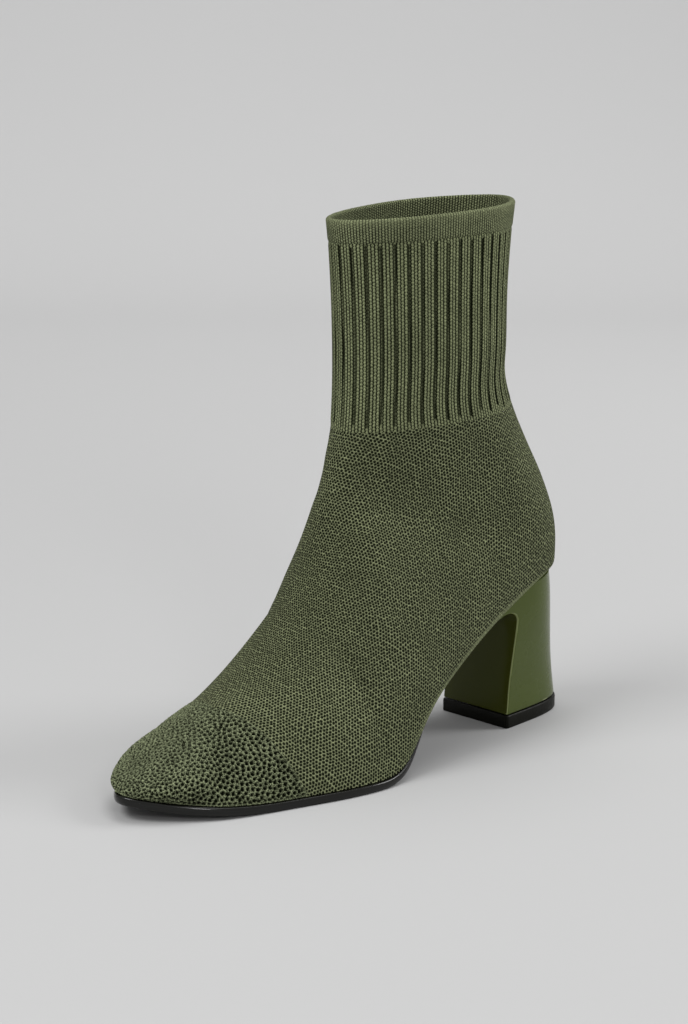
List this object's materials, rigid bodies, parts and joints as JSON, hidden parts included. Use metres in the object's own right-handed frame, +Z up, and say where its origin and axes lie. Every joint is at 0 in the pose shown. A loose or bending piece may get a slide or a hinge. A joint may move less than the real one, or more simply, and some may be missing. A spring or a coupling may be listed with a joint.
{
  "type": "sock boot",
  "caption": "Left sock boot: a slim knitted upper with a ribbed shaft and open collar, on a thin sole with a block heel.",
  "frame": {"origin": "on the floor under the middle of the boot's plan", "axes": "+Z up, +Y from the toe towards the heel, +X towards the outer side of the left foot"},
  "size_m": [0.0844, 0.244, 0.2306],
  "materials": {
    "knit": "dark olive knit, fine on the body, ribbed on the shaft and coarse and open on the toe",
    "sole_rubber": "smooth black, half gloss edge",
    "sock_lining": "dark olive covered board",
    "heel_lacquer": "dark olive gloss lacquer",
    "tip_rubber": "black, satin"
  },
  "bodies": {
    "root": {"upper": "knit", "outsole": "sole_rubber", "insole": "sock_lining", "heel": "heel_lacquer", "heel_tip": "tip_rubber"}
  },
  "joints": []
}
